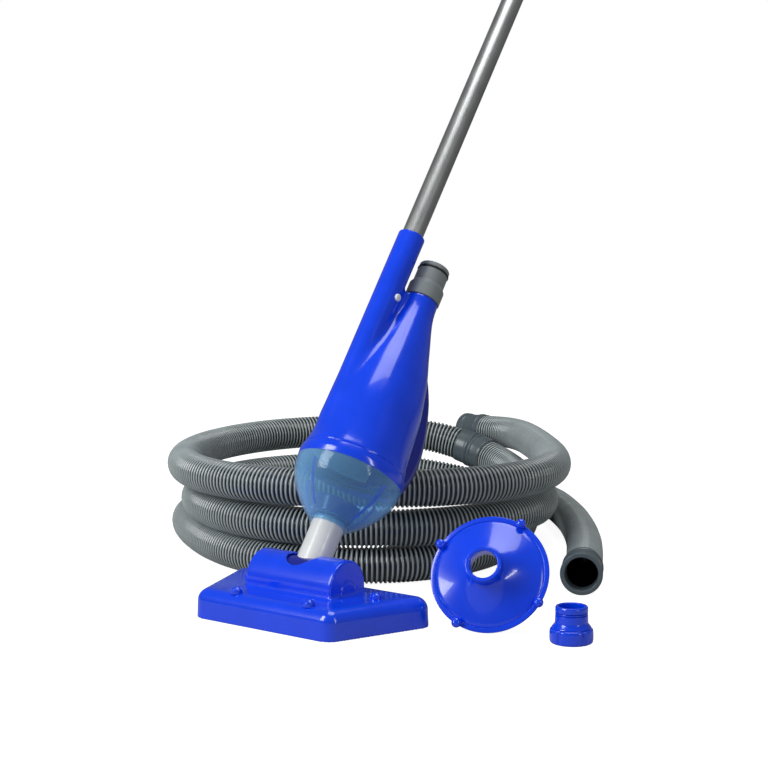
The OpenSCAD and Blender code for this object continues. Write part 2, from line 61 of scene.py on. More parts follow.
def new_mesh(name, verts, faces, sharp=SHARP):
    """A smooth-shaded mesh object from arrays or lists."""
    mesh = bpy.data.meshes.new(name)
    if isinstance(faces, np.ndarray):
        count, sides = faces.shape
        mesh.vertices.add(len(verts))
        mesh.vertices.foreach_set("co", np.asarray(verts, dtype=np.float32).ravel())
        mesh.loops.add(count * sides)
        mesh.loops.foreach_set("vertex_index", faces.astype(np.int32).ravel())
        mesh.polygons.add(count)
        mesh.polygons.foreach_set("loop_start", np.arange(count, dtype=np.int32) * sides)
        mesh.polygons.foreach_set("loop_total", np.full(count, sides, dtype=np.int32))
        mesh.update(calc_edges=True)
    else:
        mesh.from_pydata([tuple(v) for v in verts], [], faces)
    mesh.validate()
    mesh.polygons.foreach_set("use_smooth", np.full(len(mesh.polygons), True))
    if sharp:
        mesh.set_sharp_from_angle(angle=math.radians(sharp))
    obj = bpy.data.objects.new(name, mesh)
    bpy.context.collection.objects.link(obj)
    return obj


def placed(points, matrix):
    """The points moved by the matrix."""
    m = np.array(matrix)
    return np.asarray(points) @ m[:3, :3].T + m[:3, 3]


def join_as(name, parts):
    """One mesh from several, each given as (verts, faces) with faces as lists."""
    verts, faces = [], []
    for v, f in parts:
        start = len(verts)
        verts.extend(map(tuple, v))
        faces.extend([[i + start for i in face] for face in f])
    obj = new_mesh(name, verts, faces)
    tidy(obj)
    return obj


CORNER_SHARE = 0.48           # an arc takes no more than this share of a side
CORNER_STEPS = 4


def rounded(points):
    """A closed outline of (r, z) or (r, z, corner radius), its corners turned into arcs."""
    out = []
    n = len(points)
    for i, point in enumerate(points):
        p = np.array(point[:2], float)
        size = point[2] if len(point) > 2 else 0
        a = np.array(points[i - 1][:2], float) - p
        b = np.array(points[(i + 1) % n][:2], float) - p
        la, lb = np.linalg.norm(a), np.linalg.norm(b)
        if not size or la < 1e-9 or lb < 1e-9:
            out.append(p)
            continue
        a, b = a / la, b / lb
        half = math.acos(max(-1, min(1, float(a @ b)))) / 2
        cut = min(size / max(math.tan(half), 1e-6), la * CORNER_SHARE, lb * CORNER_SHARE)
        for k in range(CORNER_STEPS + 1):
            u = k / CORNER_STEPS
            out.append((1 - u) ** 2 * (p + a * cut) + 2 * u * (1 - u) * p + u ** 2 * (p + b * cut))
    return out


def lathe(outline, matrix, seg):
    """(verts, faces) of a closed outline of (r, z) points turned about z, then moved by the matrix."""
    outline = [p for i, p in enumerate(outline)
               if np.linalg.norm(np.array(p) - np.array(outline[i - 1])) > 1e-7]
    n = len(outline)
    verts, faces = [], []
    for k in range(seg):
        a = 2 * math.pi * k / seg
        verts += [(p[0] * math.cos(a), p[0] * math.sin(a), p[1]) for p in outline]
    for k in range(seg):
        j = (k + 1) % seg
        for i in range(n):
            h = (i + 1) % n
            if outline[i][0] < 1e-7 and outline[h][0] < 1e-7:
                continue
            face = [k * n + i, j * n + i, j * n + h, k * n + h]
            if outline[i][0] < 1e-7:
                face = [k * n + i, j * n + h, k * n + h]
            elif outline[h][0] < 1e-7:
                face = [k * n + i, j * n + i, k * n + h]
            faces.append(face)
    return placed(verts, matrix), faces


def lathe_piece(name, outline, matrix, seg):
    obj = new_mesh(name, *lathe(outline, matrix, seg))
    tidy(obj)
    return obj


def tidy(obj):
    """Merges the points that fall together and turns the faces outwards."""
    bm = bmesh.new()
    bm.from_mesh(obj.data)
    bmesh.ops.remove_doubles(bm, verts=bm.verts, dist=1e-6)
    bmesh.ops.recalc_face_normals(bm, faces=bm.faces)
    bm.to_mesh(obj.data)
    bm.free()


# ---------------------------------------------------------------- solids by distance
def smooth_union(a, b, k):
    """The two solids as one, the inner edge between them filled by about k."""
    h = np.clip(0.5 + 0.5 * (b - a) / k, 0, 1)
    return b + (a - b) * h - k * h * (1 - h)


def smooth_cut(a, b, k):
    """a without b, the new edge rounded by about k."""
    return -smooth_union(-a, b, k)


def box_2d(u, v, r=0.0):
    """Distance inside two half-planes at once, with the corner rounded by r."""
    u, v = u + r, v + r
    return np.minimum(np.maximum(u, v), 0) + np.hypot(np.maximum(u, 0), np.maximum(v, 0)) - r


def surface(shape, low, high, step):
    """Verts and quads of the surface shape(p) = 0, one point in each cell that it crosses."""
    low, high = np.array(low), np.array(high)
    n = np.ceil((high - low) / step).astype(int) + 1
    axes = [low[i] + step * np.arange(n[i]) for i in range(3)]
    field = np.empty(n, dtype=np.float32)
    for i in range(n[0]):
        y, z = np.meshgrid(axes[1], axes[2], indexing="ij")
        p = np.stack([np.full(y.size, axes[0][i]), y.ravel(), z.ravel()], axis=1)
        field[i] = shape(p).reshape(n[1], n[2])
    inside = field < 0
    cells = np.zeros(n - 1, dtype=np.int8)
    corners = [(a, b, c) for a in (0, 1) for b in (0, 1) for c in (0, 1)]
    for a, b, c in corners:
        cells += inside[a:n[0] - 1 + a, b:n[1] - 1 + b, c:n[2] - 1 + c]
    active = (cells > 0) & (cells < 8)
    index = np.full(n - 1, -1, dtype=np.int64)
    index[active] = np.arange(active.sum())
    at = np.argwhere(active)
    total, weight = np.zeros((len(at), 3)), np.zeros((len(at), 1))
    for axis in range(3):
        for b in (0, 1):
            for c in (0, 1):
                start = np.zeros(3, dtype=int)
                start[(axis + 1) % 3], start[(axis + 2) % 3] = b, c
                end = start.copy()
                end[axis] = 1
                f0 = field[tuple((at + start).T)].astype(float)
                f1 = field[tuple((at + end).T)].astype(float)
                cross = (f0 < 0) != (f1 < 0)
                u = np.where(cross, f0 / np.where(cross, f0 - f1, 1), 0)[:, None]
                total += np.where(cross[:, None], start + (end - start) * u, 0)
                weight += cross[:, None]
    verts = low + step * (at + total / weight)
    quads = []
    for axis in range(3):
        e = np.zeros(3, dtype=int)
        e[axis] = 1
        shape_n = n - e
        a = inside[:shape_n[0], :shape_n[1], :shape_n[2]]
        b = inside[e[0]:, e[1]:, e[2]:]
        edges = np.argwhere(a != b)
        out = a[tuple(edges.T)]
        s, t = np.zeros(3, dtype=int), np.zeros(3, dtype=int)
        s[(axis + 1) % 3], t[(axis + 2) % 3] = 1, 1
        keep = ((edges >= s + t) & (edges < n - 1)).all(axis=1)
        edges, out = edges[keep], out[keep]
        ring = [index[tuple((edges - s - t).T)], index[tuple((edges - t).T)],
                index[tuple(edges.T)], index[tuple((edges - s).T)]]
        quad = np.stack(ring, axis=1)
        quad[~out] = quad[~out][:, ::-1]
        quads.append(quad)
    quads = np.concatenate(quads)
    quads = quads[(quads >= 0).all(axis=1)]
    return settled(verts, shape, step), quads


def settled(verts, shape, step):
    """The points moved down the slope until they lie on the surface."""
    for _ in range(4):
        f = shape(verts)
        d = step * 0.05
        grad = np.stack([(shape(verts + d * e) - shape(verts - d * e)) / (2 * d) for e in np.eye(3)], axis=1)
        move = -f[:, None] * grad / np.maximum((grad ** 2).sum(axis=1, keepdims=True), 0.25)
        size = np.linalg.norm(move, axis=1, keepdims=True)
        verts = verts + move * np.minimum(1, 0.4 * step / np.maximum(size, 1e-12))
    return verts


def surface_piece(name, shape, low, high, step, matrix):
    verts, quads = surface(shape, low, high, step)
    return new_mesh(name, placed(verts, matrix), quads, sharp=40)


# ---------------------------------------------------------------- camera
CAMERA_AT = Vector((1.25275, -1.5012, 0.47172))
CAMERA_TURN = 37.254
CAMERA_DOWN = 6.114
CAMERA_LENS = 83.28           # on a sensor 36 mm wide


def make_camera():
    data = bpy.data.cameras.new("camera")
    data.lens = CAMERA_LENS
    data.sensor_width = 36
    camera = bpy.data.objects.new("camera", data)
    camera.location = CAMERA_AT
    camera.rotation_euler = (math.radians(90 - CAMERA_DOWN), 0, math.radians(CAMERA_TURN))
    bpy.context.collection.objects.link(camera)
    bpy.context.scene.camera = camera


# ---------------------------------------------------------------- hose
HOSE_R = 0.023
HOSE_BORE = 0.0188
HOSE_RIB = 0.0056             # from one rib to the next
HOSE_GROOVE = 0.0026          # depth of a groove
HOSE_SIDES = 26
RIB = [(0.00, 1.00), (0.20, 0.70), (0.38, 0.05), (0.62, 0.05), (0.80, 0.70)]   # place, share of the groove
MOUTH_DEPTH = 0.09            # how far the bore is open at each end
MOUTH_ROWS = 10
CUFF_R = 0.025
CUFF_SIDES = 72

LEAD = [(-0.248, 0.712, 0.115), (-0.212, 0.709, 0.117), (-0.175, 0.693, 0.119), (-0.140, 0.666, 0.120),
        (-0.108, 0.636, 0.120), (-0.056, 0.583, 0.119), (0.000, 0.521, 0.118), (0.044, 0.452, 0.118)]
CROSSOVER = [(-0.340, 0.590, 0.118), (-0.305, 0.617, 0.117), (-0.266, 0.640, 0.110), (-0.214, 0.652, 0.095),
             (-0.160, 0.640, 0.082), (-0.107, 0.602, 0.073), (-0.054, 0.553, 0.070), (-0.008, 0.505, 0.0692)]
TAIL = [(-0.468, 0.537, 0.023), (-0.425, 0.600, 0.023), (-0.372, 0.655, 0.023), (-0.312, 0.700, 0.023),
        (-0.240, 0.728, 0.023), (-0.175, 0.728, 0.023), (-0.119, 0.702, 0.023), (-0.058, 0.644, 0.023),
        (-0.006, 0.586, 0.023), (0.039, 0.528, 0.023), (0.087, 0.460, 0.023), (0.121, 0.405, 0.023),
        (0.155, 0.346, 0.023), (0.180, 0.300, 0.023)]
JOINT = 3                     # the crossover's point where the two lengths are joined
TURN_STEP = 12                # degrees between a loop's points


def loop_shape(centre, radius, two, three, height):
    """A hand-laid loop: a circle that its own spring bends a little out of round."""
    def at(a):
        a = math.radians(a)
        r = (radius + two[0] * math.cos(2 * a) + two[1] * math.sin(2 * a)
             + three[0] * math.cos(3 * a) + three[1] * math.sin(3 * a))
        return np.array((centre[0] + r * math.cos(a), centre[1] + r * math.sin(a), height))
    return at


top_loop = loop_shape((-0.2013, 0.3748), 0.2567, (0.0023, -0.0124), (0.0066, 0.0031), 0.118)
mid_loop = loop_shape((-0.1907, 0.3664), 0.2380, (0.0022, -0.0057), (-0.0016, 0.0003), 0.0692)
low_loop = loop_shape((-0.2420, 0.4050), 0.2600, (-0.0075, -0.0280), (-0.0090, -0.0080), 0.023)


def loop_points(shape, start, stop):
    """Points of a loop wound clockwise, from one angle down to another."""
    count = round((start - stop) / TURN_STEP)
    return [tuple(shape(start + (stop - start) * (k + 0.5) / count)) for k in range(count)]


def ease(x):
    x = min(max(x, 0), 1)
    return x * x * (3 - 2 * x)


def first_length():
    """From the start cuff through the top loop to the joint."""
    return LEAD + loop_points(top_loop, 12, -232) + CROSSOVER[:JOINT + 1]


def second_length():
    """From the joint through the middle and bottom loops to the free end."""
    def falling(a):
        share = ease((-225 - a) / 90)
        return mid_loop(a) * (1 - share) + low_loop(a) * share
    return CROSSOVER[JOINT:] + loop_points(falling, 20, -560) + TAIL


def smooth_line(points, step=0.002, rounds=400):
    """An even, smooth line through the points."""
    p = np.array(points, float)
    p = np.vstack([2 * p[0] - p[1], p, 2 * p[-1] - p[-2]])
    line = []
    for i in range(1, len(p) - 2):
        a, b, c, d = p[i - 1:i + 3]
        t = [0.0]
        for q, r in ((a, b), (b, c), (c, d)):
            t.append(t[-1] + math.sqrt(np.linalg.norm(r - q)))
        for u in np.linspace(t[1], t[2], 24, endpoint=False):
            a1 = a + (b - a) * (u - t[0]) / (t[1] - t[0])
            a2 = b + (c - b) * (u - t[1]) / (t[2] - t[1])
            a3 = c + (d - c) * (u - t[2]) / (t[3] - t[2])
            b1 = a1 + (a2 - a1) * (u - t[0]) / (t[2] - t[0])
            b2 = a2 + (a3 - a2) * (u - t[1]) / (t[3] - t[1])
            line.append(b1 + (b2 - b1) * (u - t[1]) / (t[2] - t[1]))
    line.append(p[-2])
    line = even(np.array(line), step)
    for _ in range(rounds):
        line[1:-1] += 0.5 * ((line[:-2] + line[2:]) / 2 - line[1:-1])
    return even(line, step)


def even(line, step):
    """The line's points spaced evenly."""
    s = np.concatenate([[0], np.cumsum(np.linalg.norm(np.diff(line, axis=0), axis=1))])
    want = np.linspace(0, s[-1], max(2, int(round(s[-1] / step)) + 1))
    return np.stack([np.interp(want, s, line[:, k]) for k in range(3)], axis=1)


def line_at(line, s):
    """Points and directions of a line at the distances s."""
    length = np.concatenate([[0], np.cumsum(np.linalg.norm(np.diff(line, axis=0), axis=1))])

    def point(at):
        return np.stack([np.interp(at, length, line[:, k]) for k in range(3)], axis=1)
    d = point(np.minimum(s + 0.003, length[-1])) - point(np.maximum(s - 0.003, 0))
    return point(s), d / np.linalg.norm(d, axis=1, keepdims=True)


def line_length(line):
    return float(np.linalg.norm(np.diff(line, axis=0), axis=1).sum())


def rings(line, s, r, sides):
    """Rings of points round a line, at the distances s and with the radii r."""
    at, d = line_at(line, s)
    side = np.cross(d, (0, 0, 1))
    side /= np.linalg.norm(side, axis=1, keepdims=True)
    up = np.cross(side, d)
    a = 2 * np.pi * np.arange(sides) / sides
    rim = np.cos(a)[None, :, None] * side[:, None] + np.sin(a)[None, :, None] * up[:, None]
    return (at[:, None] + r[:, None, None] * rim).reshape(-1, 3)


def tube_faces(rows, sides, closed=False):
    """Quads between rings of points; a closed one joins its last ring to its first."""
    faces = []
    for i in range(rows if closed else rows - 1):
        here, there = i * sides, (i + 1) % rows * sides
        for k in range(sides):
            j = (k + 1) % sides
            faces.append([here + k, here + j, there + j, there + k])
    return faces


def corrugated(name, line):
    """A ribbed hose along a line, its bore open for a stretch at each end."""
    length = line_length(line)
    ribs = round(length / HOSE_RIB)
    pitch = length / ribs
    s = [pitch * (i + place) for i in range(ribs) for place, _ in RIB] + [length]
    r = [HOSE_R - HOSE_GROOVE * depth for i in range(ribs) for _, depth in RIB] + [HOSE_R - HOSE_GROOVE]
    bore = np.linspace(0, MOUTH_DEPTH, MOUTH_ROWS).tolist()
    s = bore[::-1] + s + [length - place for place in bore]
    r = [HOSE_BORE] * len(bore) + r + [HOSE_BORE] * len(bore)
    verts = rings(line, np.array(s), np.array(r), HOSE_SIDES)
    rows = len(s)
    faces = tube_faces(rows, HOSE_SIDES)
    faces.append(list(range(HOSE_SIDES))[::-1])
    faces.append([(rows - 1) * HOSE_SIDES + k for k in range(HOSE_SIDES)])
    hose = new_mesh(name, verts, faces, sharp=0)
    # Painted shade: each ring's groove depth is kept on the points as the groove attribute, and the hose
    # material uses it to darken its colour in the grooves.
    depth = np.clip((HOSE_R - np.array(r)) / HOSE_GROOVE, 0, 1)
    groove_shade = hose.data.attributes.new("groove", "FLOAT", "POINT")
    groove_shade.data.foreach_set("value", np.repeat(depth, HOSE_SIDES).astype(np.float32))
    return hose


def aim(at, direction):
    """A matrix whose z runs along the direction, from a point."""
    return Matrix.Translation(Vector(at)) @ Vector(direction).to_track_quat("Z", "Y").to_matrix().to_4x4()


def end_cuff(name, at, direction, length):
    """An open cuff: a ringed sleeve with a rounded lip."""
    r, bore = CUFF_R, HOSE_R + 0.0002
    mouth = 0.0195
    outline = [(bore, 0, 0.0004), (r - 0.0012, 0, 0.0006), (r - 0.0012, 0.006, 0.0006), (r, 0.0075, 0.0006),
               (r, 0.0105, 0.0006), (r - 0.0012, 0.012, 0.0006), (r - 0.0014, length - 0.010, 0.001),
               (r, length - 0.0085, 0.001), (r + 0.0006, length, 0.0016), (mouth + 0.0007, length, 0.0012),
               (mouth, length - 0.004, 0.001), (mouth, length - 0.021), (bore, length - 0.022)]
    return lathe_piece(name, rounded(outline), aim(at, direction), CUFF_SIDES)


def joint_cuff(name, line):
    """Half of the joint: a smooth sleeve that follows the hose, with a raised bead at its mouth."""
    r, bead, length = CUFF_R, 0.0012, 0.026
    bore = HOSE_R + 0.0006
    outline = rounded([(bore, 0.0002, 0.0003), (r - 0.0004, 0.0002, 0.0006), (r + bead, 0.0026, 0.0012),
                       (r + bead, 0.0052, 0.0012), (r - 0.0002, 0.0072, 0.001), (r - 0.0004, length / 2),
                       (r - 0.0006, length - 0.003, 0.002), (bore + 0.0004, length, 0.0005), (bore, length),
                       (bore, length / 2)])
    verts = rings(line, np.array([p[1] for p in outline]), np.array([p[0] for p in outline]), CUFF_SIDES)
    obj = new_mesh(name, verts, tube_faces(len(outline), CUFF_SIDES, closed=True))
    tidy(obj)
    return obj


def make_hose():
    """The two lengths of hose on one line, with a cuff on each end and a pair where they meet."""
    whole = smooth_line(first_length() + second_length()[1:])
    joint = int(np.argmin(np.linalg.norm(whole - np.array(CROSSOVER[JOINT]), axis=1)))
    first, second = whole[:joint + 1], whole[joint:]
    hose_a, hose_b = corrugated("hose_first_length", first), corrugated("hose_second_length", second)
    start_way = Vector(first[0] - first[8]).normalized()
    tail_way = Vector(second[-1] - second[-9]).normalized()
    lift = Vector((0, 0, CUFF_R + 0.0008 - HOSE_R))
    cuffs = {
        "cuff_start": end_cuff("hose_start_cuff", Vector(LEAD[0]) - 0.014 * start_way, start_way, 0.042),
        "cuff_joint_a": joint_cuff("hose_joint_cuff_a", first[::-1]),
        "cuff_joint_b": joint_cuff("hose_joint_cuff_b", second),
        "cuff_end": end_cuff("hose_end_cuff", Vector(TAIL[-1]) - 0.02 * tail_way + lift, tail_way, 0.046)}
    for node, cuff in cuffs.items():
        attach(cuff, "head")
        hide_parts(node)
    for hose in (hose_a, hose_b):
        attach(hose, "head")
    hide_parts("hose_lead", "hose_coil_top")
    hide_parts("hose_crossover", "hose_coil_mid", "hose_coil_low", "hose_tail")
    return hose_a, hose_b, list(cuffs.values())


# ---------------------------------------------------------------- materials
BLUE = (0.0005, 0.058, 0.88)
DARK_BLUE = (0.001, 0.012, 0.30)
CONNECTOR_GREY = (0.22, 0.25, 0.26)
CUFF_GREY = (0.085, 0.115, 0.13)


def material(name, colour, rough, coat=0.0, bump=0.0, bump_scale=900.0, vary=0.06, metal=0.0,
             rough_vary=0.05):
    """A moulded or drawn surface: its colour, gloss and grain each wander a little."""
    mat = bpy.data.materials.new(name)
    mat.use_nodes = True
    nodes, links = mat.node_tree.nodes, mat.node_tree.links
    shader = nodes["Principled BSDF"]
    shader.inputs["Metallic"].default_value = metal
    shader.inputs["Coat Weight"].default_value = coat
    shader.inputs["Coat Roughness"].default_value = 0.04
    place = nodes.new("ShaderNodeTexCoord")
    wander = nodes.new("ShaderNodeTexNoise")
    wander.inputs["Scale"].default_value = 30
    wander.inputs["Detail"].default_value = 4
    links.new(place.outputs["Object"], wander.inputs["Vector"])
    tint = nodes.new("ShaderNodeValToRGB")
    tint.color_ramp.elements[0].position, tint.color_ramp.elements[1].position = 0.3, 0.7
    tint.color_ramp.elements[0].color = (*[c * (1 - vary) for c in colour], 1)
    tint.color_ramp.elements[1].color = (*[min(1, c * (1 + vary)) for c in colour], 1)
    links.new(wander.outputs["Fac"], tint.inputs["Fac"])
    links.new(tint.outputs["Color"], shader.inputs["Base Color"])
    gloss = nodes.new("ShaderNodeMapRange")
    gloss.inputs["To Min"].default_value = max(0, rough - rough_vary)
    gloss.inputs["To Max"].default_value = rough + rough_vary
    links.new(wander.outputs["Fac"], gloss.inputs["Value"])
    links.new(gloss.outputs["Result"], shader.inputs["Roughness"])
    if bump:
        grain = nodes.new("ShaderNodeTexNoise")
        grain.inputs["Scale"].default_value = bump_scale
        grain.inputs["Detail"].default_value = 3
        links.new(place.outputs["Object"], grain.inputs["Vector"])
        relief = nodes.new("ShaderNodeBump")
        relief.inputs["Strength"].default_value = bump
        relief.inputs["Distance"].default_value = 0.0004
        links.new(grain.outputs["Fac"], relief.inputs["Height"])
        links.new(relief.outputs["Normal"], shader.inputs["Normal"])
    return mat


def clear_bowl_material():
    """Thin clear plastic: it lets the light straight through and gets bluer towards its edges."""
    mat = material("clear_blue_plastic", (0.30, 0.62, 1.0), 0.06, coat=1.0, vary=0.05, rough_vary=0.02)
    nodes, links = mat.node_tree.nodes, mat.node_tree.links
    shader, out = nodes["Principled BSDF"], nodes["Material Output"]
    through = nodes.new("ShaderNodeBsdfTransparent")
    through.inputs["Color"].default_value = (0.74, 0.92, 1.0, 1)
    edge = nodes.new("ShaderNodeLayerWeight")
    edge.inputs["Blend"].default_value = 0.35
    share = nodes.new("ShaderNodeMapRange")
    share.inputs["To Min"].default_value = 0.17
    share.inputs["To Max"].default_value = 0.72
    links.new(edge.outputs["Facing"], share.inputs["Value"])
    mix = nodes.new("ShaderNodeMixShader")
    links.new(share.outputs["Result"], mix.inputs["Fac"])
    links.new(through.outputs["BSDF"], mix.inputs[1])
    links.new(shader.outputs["BSDF"], mix.inputs[2])
    links.new(mix.outputs["Shader"], out.inputs["Surface"])
    return mat


def hose_material():
    """Ribbed grey plastic: pale satin crests, with painted shade that makes the grooves nearly black."""
    mat = material("hose_grey", (0.42, 0.48, 0.49), 0.30, coat=0.35, vary=0.10, bump=0.05, bump_scale=300)
    nodes, links = mat.node_tree.nodes, mat.node_tree.links
    shader, tint = nodes["Principled BSDF"], nodes["Color Ramp"]
    # Painted shade: the deeper the groove, the more of a nearly black colour goes into the base colour.
    depth = nodes.new("ShaderNodeAttribute")
    depth.attribute_name = "groove"
    shade = nodes.new("ShaderNodeMix")
    shade.data_type = "RGBA"
    shade.inputs["B"].default_value = (0.004, 0.008, 0.010, 1)
    reach = nodes.new("ShaderNodeMapRange")
    reach.inputs["From Min"].default_value = 0.05
    reach.inputs["From Max"].default_value = 0.60
    links.new(depth.outputs["Fac"], reach.inputs["Value"])
    links.new(reach.outputs["Result"], shade.inputs["Factor"])
    links.new(tint.outputs["Color"], shade.inputs["A"])
    links.new(shade.outputs["Result"], shader.inputs["Base Color"])
    return mat


def make_materials():
    return {
        "blue_gloss": material("blue_gloss", BLUE, 0.20, coat=0.6, bump=0.04, bump_scale=160),
        "blue_dark": material("blue_dark", DARK_BLUE, 0.26, coat=0.6, bump=0.04, bump_scale=160),
        "bristle": material("bristle", (0.80, 0.80, 0.76), 0.6, bump=0.6, bump_scale=1500),
        "white_plastic": material("white_plastic", (0.80, 0.81, 0.82), 0.3, coat=0.3, bump=0.05),
        "grey_white": material("grey_white", (0.78, 0.80, 0.80), 0.34, coat=0.25, bump=0.08, bump_scale=500),
        "clear_bowl": clear_bowl_material(),
        "black_rubber": material("black_rubber", (0.012, 0.012, 0.013), 0.5, bump=0.15),
        "steel": material("steel", (0.55, 0.56, 0.58), 0.3, metal=1.0, bump=0.1),
        "mesh_fabric": material("mesh_fabric", (0.75, 0.80, 0.84), 0.8, bump=0.7, bump_scale=1400),
        "grey_plastic": material("grey_plastic", CONNECTOR_GREY, 0.36, coat=0.2, bump=0.08, bump_scale=500),
        "pole_metal": material("pole_metal", (0.56, 0.58, 0.58), 0.36, metal=1.0, bump=0.05, bump_scale=260),
        "grip_rubber": material("grip_rubber", (0.018, 0.019, 0.021), 0.62, bump=0.4),
        "hose_grey": hose_material(),
        "cuff_grey": material("cuff_grey", CUFF_GREY, 0.36, coat=0.2, bump=0.06, bump_scale=500)}


# ---------------------------------------------------------------- studio
def area_light(name, at, target, size, power):
    """A rectangular light of (width, height), turned towards its target."""
    data = bpy.data.lights.new(name, "AREA")
    data.shape = "RECTANGLE"
    data.size, data.size_y = size
    data.energy = power
    lamp = bpy.data.objects.new(name, data)
    lamp.location = at
    lamp.rotation_euler = (Vector(target) - Vector(at)).to_track_quat("-Z", "Y").to_euler()
    bpy.context.collection.objects.link(lamp)


def make_studio():
    """A white room: bright to the camera, dim as a light, so that the lamps shape the object."""
    scene = bpy.context.scene
    scene.view_settings.view_transform = "Standard"
    world = bpy.data.worlds.new("studio")
    scene.world = world
    world.use_nodes = True
    nodes, links = world.node_tree.nodes, world.node_tree.links
    back = nodes["Background"]
    back.inputs["Color"].default_value = (1, 1, 1, 1)
    path = nodes.new("ShaderNodeLightPath")
    level = nodes.new("ShaderNodeMapRange")
    level.inputs["To Min"].default_value = 0.15
    level.inputs["To Max"].default_value = 1.0
    links.new(path.outputs["Is Camera Ray"], level.inputs["Value"])
    links.new(level.outputs["Result"], back.inputs["Strength"])
    area_light("key", (-0.9, -1.9, 1.5), (-0.05, 0.1, 0.15), (1.0, 1.6), 46)
    area_light("top", (0.2, 0.3, 2.4), (0, 0.2, 0), (1.3, 1.3), 20)
    area_light("right_strip", (2.2, -0.3, 0.9), (0, 0.1, 0.2), (0.16, 1.3), 7)
    half = 40
    verts = [(-half, -half, 0), (half, -half, 0), (half, half, 0), (-half, half, 0)]
    floor = new_mesh("studio_floor", verts, [[0, 1, 2, 3]])
    floor.data.materials.append(floor_material())


def floor_material():
    """White paper lit from behind: no horizon, and only the contact shadows darken it."""
    mat = material("studio_floor", (0.48, 0.48, 0.48), 0.9, vary=0.01)
    nodes, links = mat.node_tree.nodes, mat.node_tree.links
    shader, out = nodes["Principled BSDF"], nodes["Material Output"]
    path = nodes.new("ShaderNodeLightPath")
    glow = nodes.new("ShaderNodeEmission")
    level = nodes.new("ShaderNodeMapRange")
    level.inputs["To Max"].default_value = 0.93
    links.new(path.outputs["Is Camera Ray"], level.inputs["Value"])
    links.new(level.outputs["Result"], glow.inputs["Strength"])
    both = nodes.new("ShaderNodeAddShader")
    links.new(shader.outputs["BSDF"], both.inputs[0])
    links.new(glow.outputs["Emission"], both.inputs[1])
    links.new(both.outputs["Shader"], out.inputs["Surface"])
    return mat


def dress(obj, body, slot, mats, *nodes):
    """Says what a piece rides on, which CAD nodes it stands for and what it is made of."""
    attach(obj, body)
    if nodes:
        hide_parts(*nodes)
    obj.data.materials.clear()
    obj.data.materials.append(mats[slot])
    return obj


# ---------------------------------------------------------------- head
HEAD_H = 0.033
HEAD_FRONT, HEAD_BACK = -0.0776, 0.0557
HEAD_FRONT_HALF, HEAD_BACK_HALF = 0.0965, 0.146
HEAD_CORNER = 0.017           # the plan's corners
HEAD_SHOULDER = 0.014         # the edge between its sides and its top
HEAD_DRAFT = 0.03             # how much the sides lean in
HEAD_WALL = 0.003
HUMP_R = 0.0308
HUMP_HALF = 0.061             # half the hump's width
SLOT_HALF = 0.0203            # half the width of the neck's slot
SLOT_LOW = 0.0355             # the slot's lower edge
END_RIB_R = 0.0125            # the raised rib on each end of the hump
PEG_PLACES = ((-0.045, -0.064), (0.059, -0.064), (-0.086, 0.006), (0.096, 0.006))
BRUSHES = (("brush_front", -0.054, 0.130), ("brush_rear", 0.044, 0.200))   # node, place along y, length


def polygon_2d(x, y, corners):
    """Distance to a convex polygon, its corners listed anticlockwise."""
    near, beyond = np.inf, -np.inf
    for (ax, ay), (bx, by) in zip(corners, corners[1:] + corners[:1]):
        ex, ey = bx - ax, by - ay
        length = math.hypot(ex, ey)
        t = np.clip(((x - ax) * ex + (y - ay) * ey) / length ** 2, 0, 1)
        near = np.minimum(near, np.hypot(x - ax - t * ex, y - ay - t * ey))
        beyond = np.maximum(beyond, ((x - ax) * ey - (y - ay) * ex) / length)
    return np.where(beyond < 0, -near, near)


def head_outline(x, y, inset=0.0):
    """Distance to the head's rounded trapezoid in plan."""
    slope = (HEAD_BACK_HALF - HEAD_FRONT_HALF) / (HEAD_BACK - HEAD_FRONT)
    rows = (HEAD_FRONT + HEAD_CORNER, HEAD_BACK - HEAD_CORNER)
    pulled_in = HEAD_CORNER * math.hypot(1, slope)
    front, back = (HEAD_FRONT_HALF + (row - HEAD_FRONT) * slope - pulled_in for row in rows)
    corners = [(-front, rows[0]), (front, rows[0]), (back, rows[1]), (-back, rows[1])]
    return polygon_2d(x, y, corners) - HEAD_CORNER + inset


def head_body(p, inset=0.0):
    """The head's box without its hump; the inset makes its inside."""
    x, y, z = p.T
    plan = head_outline(x, y, inset + HEAD_DRAFT * np.maximum(z, 0))
    return box_2d(plan, z - HEAD_H + inset, HEAD_SHOULDER - inset * 0.8)


def arch_2d(y, z, r):
    """Distance to an arch that stands on the floor, round about the hinge."""
    return np.where(z > HINGE.z, np.hypot(y, z - HINGE.z), np.abs(y)) - r


def head_shape(p):
    x, y, z = p.T
    solid = head_body(p)
    hump = box_2d(arch_2d(y, z, HUMP_R), np.abs(x) - HUMP_HALF, 0.0022)
    solid = smooth_union(solid, hump, 0.005)
    rib = box_2d(arch_2d(y, z + 0.004, END_RIB_R), np.abs(x) - HUMP_HALF - 0.0016, 0.001)
    solid = smooth_union(solid, rib, 0.0012)
    hollow = head_body(p, HEAD_WALL)
    inner_hump = box_2d(arch_2d(y, z, HUMP_R - HEAD_WALL), np.abs(x) - HUMP_HALF + HEAD_WALL)
    solid = smooth_cut(solid, np.minimum(hollow, inner_hump), 0.0006)
    slot = np.where(y < 0, np.hypot(x, y), np.abs(x)) - SLOT_HALF
    slot = np.maximum(slot, SLOT_LOW - z)
    solid = smooth_cut(solid, slot, 0.0022)
    return np.maximum(solid, -z)


